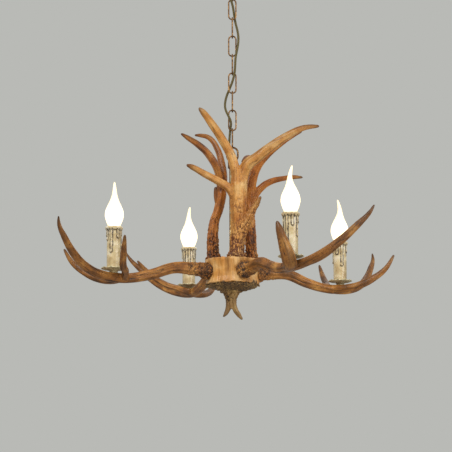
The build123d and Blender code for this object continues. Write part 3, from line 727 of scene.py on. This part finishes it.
# each standing antler's beam and then its tines: x, y, up from the hub, radius, in mm
frontUpright = [
    [
        (7, -30, 20, 13.8), (9, -31, 37, 13.2), (11, -33, 69, 13.4), (11, -36, 115, 14.8),
        (11.5, -38.5, 150, 15.4), (10.5, -40, 181, 11.4),
    ],
    [
        (11, -37, 140, 9), (-1, -42, 202, 8.8), (-19, -47, 236, 7.7), (-38, -52, 264, 7.2),
        (-54, -56, 285, 5.7), (-62, -58, 293, 3.4),
    ],
    [
        (12, -38, 140, 11.5), (27, -42, 188, 11.2), (44, -45, 201, 9.7), (69, -50, 220, 8.3),
        (98, -55, 239, 7), (130, -60, 254, 5.3), (159, -64, 257, 2.9),
    ],
    [
        (10, -36, 112, 8.5), (-6, -42, 144, 8), (-23, -48, 155, 7.4), (-50, -58, 168, 6.4),
        (-74, -66, 180, 4.9), (-84, -70, 183, 2.8),
    ],
    [(13, -33, 54, 10), (24, -36, 80, 9.2), (35, -40, 101, 7.4), (45, -44, 117, 5.2), (52, -47, 129, 2.7)],
]
leftUpright = [
    [
        (-35, 12, 20, 11.5), (-37, 13, 48, 11), (-36, 14, 80, 10), (-33, 15, 96, 9.2),
        (-27, 16, 113, 9), (-21, 18, 146, 9.8), (-20, 19, 163, 7),
    ],
    [
        (-22, 18, 138, 8), (-24, 12, 179, 8), (-44, 2, 217, 7), (-63, -6, 234, 6.2),
        (-83, -14, 246, 4.5), (-96, -20, 253, 2.2),
    ],
    [
        (-22, 18, 138, 8), (-17, 22, 177, 8), (-20, 28, 207, 7), (-28, 36, 236, 6), (-43, 44, 259, 5),
        (-60, 52, 266, 3.9), (-72, 58, 268, 2.2),
    ],
    [(-25, 16, 119, 6), (-30, 14, 139, 4.8), (-32, 12, 158, 3.2)],
]
rightUpright = [
    [(35, 16, 20, 11.4), (34, 17, 49, 10.8), (33, 18, 81, 10.4), (32, 20, 115, 10), (33, 22, 145, 7)],
    [
        (32, 20, 108, 7.5), (41, 21, 140, 7.4), (54, 22, 158, 6.8), (71, 24, 170, 6), (96, 26, 177, 4.8),
        (118, 28, 180, 3.8), (133, 30, 180, 2.2),
    ],
    [
        (32, 21, 128, 8), (37, 16, 164, 8), (46, 8, 193, 7.2), (63, 2, 215, 6.4), (85, -4, 233, 5.2),
        (110, -10, 249, 3.7), (130, -14, 259, 2.1),
    ],
    [(33, 22, 138, 7), (34, 36, 191, 6.8), (34, 56, 219, 6), (27, 82, 229, 4.3), (19, 104, 225, 2.2)],
]


def branchesOf(lines, dark, own={}):  # own gives a single tine its own darkness
    return [(knots, tineSection if k else beamSection, own.get(k, dark)) for k, knots in enumerate(lines)]


uprightSettings = {
    "front": dict(
        branches=branchesOf(frontUpright, 0.4, {2: 0.95}), foot=(7, -30), crown=18.2, tone="pale",
        slot="antler_pale", seed=41.3, pearlReach=150, pearlFade=110, pearlHeight=1.7, rootDark=40,
    ),
    "left": dict(
        branches=branchesOf(leftUpright, 0.85), foot=(-35, 12), crown=15.6, tone="dark",
        slot="antler_dark", seed=53.9, pearlReach=112, pearlFade=60, pearlHeight=1.6, rootDark=24,
    ),
    "right": dict(
        branches=branchesOf(rightUpright, 0.6), foot=(35, 16), crown=15.6, tone="honey",
        slot="antler_honey", seed=67.1, pearlReach=128, pearlFade=60, pearlHeight=1.6, rootDark=16,
    ),
}
for name, upright in uprightSettings.items():
    x, y = upright["foot"]
    crowns = [
        crownOf(
            upright["crown"] + wider, 7, count, big,
            Matrix.Translation((x * mm, y * mm, height * mm)), int(upright["seed"] * 10),
        )
        for wider, height, count, big in ((1, 17.6, 17, 4.2), (-2, 23.5, 13, 3.2))
    ]
    surface = dict(
        upright, place=turnedAbout(0), voxel=antlerVoxel, soften=3, root=(x, y, hubLevel / mm + 18),
        pearlSize=3.7, pearlLong=2.4, grooves=0.9, flow=1.0, tipDark=14, tipTone=0.9,
    )
    antler = growAntler(f"{name}_standing_antler", upright["branches"], crowns, surface)
    finishPiece(antler, antlerFinish[upright["tone"]], "fixture", upright["slot"], f"{name}_upright")
    print("upright grown:", name, len(antler.data.polygons))

forkLines = [  # the forked tip under the hub
    [(-3, 0, -35, 15), (-3, 0, -43, 13.8), (-3, 0, -50, 10.2), (-2.5, 0, -60, 7.3), (-3, 0, -73, 6.0)],
    [(-9, 1, -44, 7.5), (-7, 0, -60, 5.6), (-8, 0, -72, 5.0), (-12, 0, -81, 3.8), (-17, 0, -88, 1.9)],
    [(5, -4, -43, 8), (2.0, -2.5, -58, 5.8), (4.5, -1, -73, 5.0), (11.5, 0, -84, 4.2), (18, 0, -93, 2.4)],
]
forkCrowns = [
    crownOf(21, 6, 10, 5.2, Matrix.Translation((-3 * mm, 0, -43 * mm)), 811),
    crownOf(15.6, 5, 9, 3.8, Matrix.Translation((-3 * mm, 0, -49.5 * mm)), 827),
]
forkSettings = dict(
    place=turnedAbout(0), voxel=0.8, soften=2, seed=71.3,
    root=(-3, 0, hubLevel / mm - 42), pearlReach=28, pearlFade=16, pearlSize=4.6, pearlLong=1.2,
    pearlHeight=1.7, rootDark=8, grooves=1.0, flow=0.8, tipDark=8, tipTone=0.6,
)
fork = growAntler("forked_tip", branchesOf(forkLines, 0.2), forkCrowns, forkSettings)
finishPiece(fork, antlerFinish["rim"], "fixture", "antler_honey", "finial_fork")
print("fork grown")


def turned(name, profile, sides=96, closed=True):
    # rings of (radius, height) in mm, each pushed out of the one before
    fill = "NGON" if closed else "NOTHING"
    bpy.ops.mesh.primitive_circle_add(vertices=sides, radius=profile[0][0] * mm, fill_type=fill)
    piece = bpy.context.object
    piece.name = name
    bpy.ops.object.mode_set(mode="EDIT")
    bpy.ops.mesh.select_all(action="SELECT")
    bpy.ops.transform.translate(value=(0, 0, profile[0][1] * mm))
    for (radius, height), (nextRadius, nextHeight) in zip(profile, profile[1:]):
        rise = (0, 0, (nextHeight - height) * mm)
        bpy.ops.mesh.extrude_region_move(TRANSFORM_OT_translate={"value": rise})
        change = nextRadius / radius
        bpy.ops.transform.resize(value=(change, change, 1), center_override=(0, 0, nextHeight * mm))
    bpy.ops.mesh.select_all(action="SELECT")
    if not closed:
        bpy.ops.mesh.remove_doubles(threshold=1e-6)
    bpy.ops.mesh.normals_make_consistent(inside=False)
    bpy.ops.object.mode_set(mode="OBJECT")
    return piece


# half of the height of the drum's smooth side about its middle, and over how far its lips turn rough
drumSettings = dict(middle=-5, smooth=17, lip=6, coarse=0.7, fine=0.6, chips=1.3)


def drumShape(x, y, z):
    reach = math.hypot(x, y)
    c, s = x / max(reach, 1), y / max(reach, 1)
    coarse = noise.noise((c * 9, s * 9, z * 0.018))
    fine = noise.noise((c * 27, s * 27, z * 0.04))
    lip = abs(z - drumSettings["middle"]) - drumSettings["smooth"]
    lip = min(1.0, max(0.0, lip / drumSettings["lip"]))
    chips = noise.noise((x * 0.22, y * 0.22, z * 0.3)) * lip
    side = min(1.0, reach / 40) if reach > 30 else 0
    push = (coarse * drumSettings["coarse"] + fine * drumSettings["fine"]) * side
    lines = max(0.0, -coarse - 0.3) * 1.2 + max(0.0, -fine - 0.1) * 1.1
    return push + chips * drumSettings["chips"], dict(
        grainCo=numpy.array((c * 46, s * 46, z)) * mm,
        crevice=lines * side + 0.25 * lip * max(0.0, chips),
        pearl=0.25 * lip,
        tipShade=0.25 * lip * (0.5 + chips),
    )


drumProfile = [
    (6, 17.4), (49.3, 17.4), (50.6, 16), (50.2, 12), (48.4, 5), (47.0, -2), (46.4, -9), (46.8, -17),
    (49.2, -25), (50.0, -drumFoot), (30, -drumFoot),
]
drum = turned("grained_drum", drumProfile)
melt(drum, 1.0, 2)
sculpt(drum, drumShape)
drum.data.transform(turnedAbout(0))
finishPiece(drum, antlerFinish["hub"], "fixture", "drum_wood", "hub_drum")

# the rough ring under the drum: nodules in two rows round its edge, and smaller ones below
rimSettings = dict(knobs=26, under=22, nubAzimuth=225, sideKnobAzimuth=-38, seed=907)
chance = random.Random(rimSettings["seed"])
ringProfile = [
    (30, -27.6), (46.2, -27.6), (46.6, -29.5), (45.6, -32), (42.4, -33.6), (36, -35), (28, -37.5), (20, -41),
]
knobPieces = [turned("burr_ring", ringProfile)]
lumps = [
    (rimSettings["nubAzimuth"], 36, -37.4, 5.8, 1.0), (rimSettings["sideKnobAzimuth"], 46, -27.5, 5.6, 1.0),
]
for k in range(rimSettings["knobs"]):
    low = k % 2
    azimuth = 360 * k / rimSettings["knobs"] + chance.uniform(-5, 5)
    size = chance.uniform(2.6, 5.4)
    height = -31.8 if low else chance.uniform(-30.5, -27.0)
    lumps.append((azimuth, (43.0 if low else 49.8) - size * 0.65, height, size, chance.uniform(0.6, 1.0)))
for k in range(rimSettings["under"]):
    reach = chance.uniform(20, 38)
    lumps.append((chance.uniform(0, 360), reach, -41.5 + reach * 0.18, chance.uniform(2.0, 3.8), 0.6))
for azimuth, *lump in lumps:
    addNodule(math.radians(azimuth), *lump, 3)
    knobPieces.append(bpy.context.object)
ring = joinAll(knobPieces, "burr_ring")
melt(ring, 0.9, 3)


def ringShape(x, y, z):
    near = noise.voronoi((x / 3.4, y / 3.4, z / 3.4))[0]  # grains of 3.4 mm, and pits every 6 mm
    cell = min(1.0, (near[1] - near[0]) * 1.6)
    pit = max(0.0, 0.34 - noise.voronoi((x / 6 + 4, y / 6, z / 6))[0][0]) * 4
    push = (cell - 0.5) * 1.3 - pit * 1.2 + noise.noise((x * 0.12, y * 0.12, z * 0.12)) * 1.1
    grain = numpy.array((x, y, z * 6)) * mm
    shares = dict(grainCo=grain, crevice=min(1.0, (1 - cell) * 0.9 + pit), pearl=0.8, tipShade=0.0)
    return push if z < -drumFoot else min(push, 0.6), shares


sculpt(ring, ringShape)
ring.data.transform(turnedAbout(0))
finishPiece(ring, antlerFinish["rim"], "fixture", "antler_dark", "base_rim")
print("hub made", len(drum.data.polygons), len(ring.data.polygons))

# candle lights: each piece is modelled once, then copied and turned
sleeveSettings = dict(
    drips=[(8, 24), (50, 46), (105, 20), (158, 38), (205, 54), (251, 22), (298, 40), (338, 16)],
    top=66.9, bottom=-9.6, wall=12.7, bore=11.8, rim=16.1, dripRadius=1.9, thinFrom=0.45,
)
top, bottom, wall, bore, rim = [sleeveSettings[key] for key in ("top", "bottom", "wall", "bore", "rim")]


def drippedSleeve():
    profile = [
        (bore, bottom), (wall - 0.3, bottom), (wall, bottom + 20), (wall + 0.1, top - 8),
        (rim - 0.9, top - 5.4), (rim, top - 3.2), (rim - 0.2, top - 1.2), (rim - 1.4, top),
        (bore + 0.7, top - 0.2), (bore, top - 1.4), (bore, bottom),
    ]
    parts = [turned("candle_sleeve", profile, closed=False)]
    size = sleeveSettings["dripRadius"]
    for azimuth, length in sleeveSettings["drips"]:  # a thick run, a thinner one and a drop
        about = Matrix.Rotation(math.radians(azimuth), 4, "Z")
        for radius, start, stop in (
            (size, top - 4, top - length * sleeveSettings["thinFrom"]),
            (size * 0.72, top - length * 0.4, top - length),
        ):
            bpy.ops.mesh.primitive_cylinder_add(vertices=16, radius=radius * mm, depth=abs(start - stop) * mm)
            run = bpy.context.object
            run.data.transform(about @ Matrix.Translation((wall * mm, 0, (start + stop) / 2 * mm)))
            parts.append(run)
        bpy.ops.mesh.primitive_uv_sphere_add(segments=20, ring_count=12, radius=size * 1.12 * mm)
        drop = bpy.context.object
        place = Matrix.Translation((wall * mm, 0, (top - length) * mm))
        drop.data.transform(about @ place @ Matrix.Scale(1.35, 4, (0, 0, 1)))
        parts.append(drop)
    sleeve = joinAll(parts, "candle_sleeve")
    melt(sleeve, 0.55, 3)
    return sleeve


def sleeveShape(x, y, z):
    # painted shade: a dark line in the crease beside each drip, and a band under the overhanging rim
    size = sleeveSettings["dripRadius"]
    reach = math.hypot(x, y)
    angle = math.degrees(math.atan2(y, x)) % 360
    edge = 9.0  # mm to the nearest drip's edge, at most
    for azimuth, length in sleeveSettings["drips"]:
        across = abs((angle - azimuth + 180) % 360 - 180) * math.pi / 180 * reach
        below = max(0.0, top - length - z)
        half = size if z > top - length * sleeveSettings["thinFrom"] else size * 0.85
        edge = min(edge, math.hypot(across, below) - half)
    wobble = noise.noise((x * 0.35, y * 0.35, z * 0.2))
    # painted shade along each drip's edge, and under the rim where it overhangs
    line = math.exp(-(((edge - 0.8) / (1.15 + 0.6 * wobble)) ** 2)) if z < top - 4 else 0
    underRim = math.exp(-(((top - 7.2 - z) / 1.3) ** 2)) * 0.7
    glaze = min(1.0, max(line * 1.15, underRim) * (1.0 + wobble * 0.8))
    return wobble * 0.22, dict(glaze=0 if reach < bore + 0.4 else glaze)


sleeveModel = drippedSleeve()
sculpt(sleeveModel, sleeveShape)
dishSettings = dict(petals=9, flat=11, wall=11.6, pinch=0.115, sheet=1.2, edge=0.35)
dishProfile = [(5.2, -11), (9, -11), (13.5, -10.8), (16.5, -10.2), (19, -9.2), (21.2, -8.1), (22.6, -7.4)]


def petalDish():
    # a shallow pan whose wall is pinched in between its petals
    dish = turned("petal_dish", dishProfile, sides=180, closed=False)
    for vertex in dish.data.vertices:
        x, y, z = vertex.co / mm
        reach, angle = math.hypot(x, y), math.atan2(y, x)
        share = min(1.0, max(0.0, (reach - dishSettings["flat"]) / dishSettings["wall"]))
        pinch = abs(math.cos(dishSettings["petals"] / 2 * angle)) ** 0.55
        narrowed = reach * (1 - dishSettings["pinch"] * share * (1 - pinch))
        lift = share * (1.5 * (1 - pinch) - 0.9 * share * pinch)
        vertex.co = Vector((narrowed * math.cos(angle), narrowed * math.sin(angle), z + lift)) * mm
    setAll(dish.modifiers.new("sheet", "SOLIDIFY"), thickness=dishSettings["sheet"] * mm, offset=1)
    rounded = dict(width=dishSettings["edge"] * mm, segments=2, limit_method="ANGLE")
    setAll(dish.modifiers.new("edge", "BEVEL"), **rounded)
    applyAll(dish)
    return dish


dishModel = petalDish()
cupProfile = [
    (5.2, -17), (7.4, -17), (7.9, -16.6), (7.9, -16.0), (7.2, -15.4), (7.4, -14.6), (8.6, -13.4),
    (10.1, -12.4), (10.5, -11.9), (10.5, -11.3), (10.1, -11), (5.2, -11),
]
cupModel = turned("turned_cup", cupProfile, sides=72)
flame = [  # the bulb's axis bends over at its tail: x, y, up from the sleeve's top, radius
    (0, 0, -10, 6.9), (0, 0, -7, 7.7), (0, 0, -3, 10), (0, 0, 5, 12.6), (0, 0, 14, 15.8), (0, 0, 23, 17.0),
    (0, 0, 33, 14.8), (-0.3, 0, 42.5, 10.6), (-0.8, 0, 50, 7.4), (-1.1, 0, 57, 5.2), (-0.7, 0, 64, 3.9),
    (0.4, 0, 71, 3.0), (1.8, 0, 77, 2.2), (3.1, 0, 81.6, 1.3), (3.4, 0, 82.8, 0.5),
]


def flameBulb():
    curve, _, _ = spineOf([(x, y, z + top, radius) for x, y, z, radius in flame])
    curve.data.splines[0].radius_interpolation = "CARDINAL"
    return skinOf(curve, resolution_u=6, bevel_mode="ROUND", bevel_depth=1.0, bevel_resolution=10)


def bulbShape(x, y, z):
    above = z - top
    return 0.0, dict(tail=min(1.0, max(0.0, (above - 30) / 50)), neck=min(1.0, max(0.0, (6 - above) / 14)))


bulbModel = flameBulb()
sculpt(bulbModel, bulbShape)
lightTurns = {"left": (0, 100), "near": (96, -20), "right": (207, 165), "back": (318, 60)}
for name, arm in armSettings.items():
    seat = turnedAbout(arm["azimuth"], candleRing, arm["lift"])
    sleeveTurn, bulbTurn = [Matrix.Rotation(math.radians(turn), 4, "Z") for turn in lightTurns[name]]
    sleeve = copyPiece(sleeveModel, f"{name}_dripped_sleeve", seat @ sleeveTurn)
    finishPiece(sleeve, sleeveResin, "fixture", "wax_card", f"{name}_sleeve")
    dish = copyPiece(dishModel, f"{name}_petal_dish", seat @ sleeveTurn)
    finishPiece(dish, pewter, "fixture", "pewter", f"{name}_dish")
    cup = copyPiece(cupModel, f"{name}_turned_cup", seat)
    finishPiece(cup, pewter, "fixture", "pewter", f"{name}_cup")
    makeActive(cup)
    bpy.ops.object.shade_smooth_by_angle(angle=math.radians(40))
    bulb = copyPiece(bulbModel, f"{name}_flame_bulb", Matrix.Translation(seat.translation) @ bulbTurn)
    finishPiece(bulb, bulbGlass, f"{name}_bulb", "bulb_glass", f"{name}_bulb_glass")
for model in (sleeveModel, dishModel, cupModel, bulbModel, beamSection, tineSection, broadSection):
    bpy.data.objects.remove(model)
print("candle lights made")

linkSettings = dict(length=42, width=16.5, wire=2.8, weld=0.18, dents=0.14, seed=5)
linkBend = (linkSettings["width"] - linkSettings["wire"]) / 2


def forged(x, y, z):
    weld = math.exp(-((z / 1.3) ** 2)) * (1 if x > 0 else 0)
    dents = noise.noise((x * 0.5 + linkSettings["seed"], y * 0.5, z * 0.5)) * linkSettings["dents"]
    return min(0.0, dents) + weld * (linkSettings["weld"] if abs(x) > linkBend - 1.2 else 0.05), {}


def forgedLink():
    # a ring of wire with its halves moved apart, and the weld's swelling on one side
    wire = linkSettings["wire"] / 2 * mm
    bpy.ops.mesh.primitive_torus_add(
        major_segments=48, minor_segments=16, major_radius=linkBend * mm, minor_radius=wire
    )
    link = bpy.context.object
    half = (linkSettings["length"] - linkSettings["width"]) / 2
    for vertex in link.data.vertices:
        x, y, z = vertex.co
        vertex.co = (x, z, y + math.copysign(half * mm, y))
    melt(link, 0.45, 1)
    sculpt(link, forged)
    return link


linkModel = forgedLink()
for i, level in enumerate(linkLevels):
    quarter = 90 if i % 2 == 0 else 0
    flip = 180 if i % 3 == 1 else 0
    place = Matrix.Translation((0, 0, level)) @ Matrix.Rotation(math.radians(quarter + flip), 4, "Z")
    link = copyPiece(linkModel, f"forged_link_{i}", place)
    finishPiece(link, bronze, f"link_{i}", "bronze", f"chain_link_{i}")
bpy.data.objects.remove(linkModel)
print("chain made")

for finish, names in (  # the part's own pieces that stay as they are
    (zinc, "ceiling_crossbar canopy_lock_nut hub_nuts arm_studs upright_studs finial_stud candle_nipples"),
    (nylon, "cord_bushing terminal_block left_lampholder near_lampholder right_lampholder back_lampholder"),
    (nickel, "left_bulb_cap near_bulb_cap right_bulb_cap back_bulb_cap"),
    (bronze, "canopy canopy_loop canopy_collar stem_loop"),
    (brass, "stem_tube"),
):
    for nodeName in names.split():
        materials = frame["nodes"][nodeName].data.materials
        materials.clear()
        materials.append(finish)
print("carried-over pieces finished")

# each lamp's place from the middle of the hub in metres, its size, power and tint
lamps = {
    "keyLight": ((-1.2, -2.2, 2.0), 1.5, 66, (1, 0.97, 0.93)),
    "fillLight": ((2.1, -1.5, 0.7), 1.2, 26, (1, 0.98, 0.95)),
    "lowLight": ((0.5, -2.2, -1.3), 1.4, 12, (1, 0.98, 0.95)),
    "rimLight": ((0.8, 2.4, 1.6), 2.0, 9, (1, 0.97, 0.92)),
}
middle = Vector((0, 0, hubLevel + 0.08))
for name, ((x, y, z), size, power, tint) in lamps.items():
    bpy.ops.object.light_add(type="AREA", location=(x, y, hubLevel + z))
    light = bpy.context.object
    light.name = name
    setAll(light.data, size=size, energy=power, color=tint)
    light.rotation_euler = (middle - Vector((x, y, hubLevel + z))).to_track_quat("-Z", "Y").to_euler()

floorSettings = dict(size=14, level=-2.6)
bpy.ops.mesh.primitive_plane_add(size=floorSettings["size"], location=(0, 0, floorSettings["level"]))
floor = bpy.context.object
floor.name = "floor"
floorMaterial, _, floorShader, _ = startMaterial("paleFloor")
setInputs(floorShader, {"Base Color": toLinear("#C9C9C6"), "Roughness": 0.8})
floor.data.materials.append(floorMaterial)

world = bpy.data.worlds.new("studio")
bpy.context.scene.world = world
world.use_nodes = True
world.node_tree.nodes.clear()
add = partial(addNode, world.node_tree)
# the camera, gloss and glass see the backdrop, and all else is lit by the ambient light
ray = add("ShaderNodeLightPath").outputs
seen = ray["Is Camera Ray"]
for other in ("Is Glossy Ray", "Is Transmission Ray"):
    seen = add("ShaderNodeMath", {0: seen, 1: ray[other]}, operation="MAXIMUM")
ambient = add("ShaderNodeBackground", {"Color": toLinear("#EFEBE4"), "Strength": 0.42})
backdrop = add("ShaderNodeBackground", {"Color": toLinear("#B9BAB6"), "Strength": 1.0})
shown = add("ShaderNodeMixShader", {0: seen, 1: ambient, 2: backdrop})
add("ShaderNodeOutputWorld", {"Surface": shown})
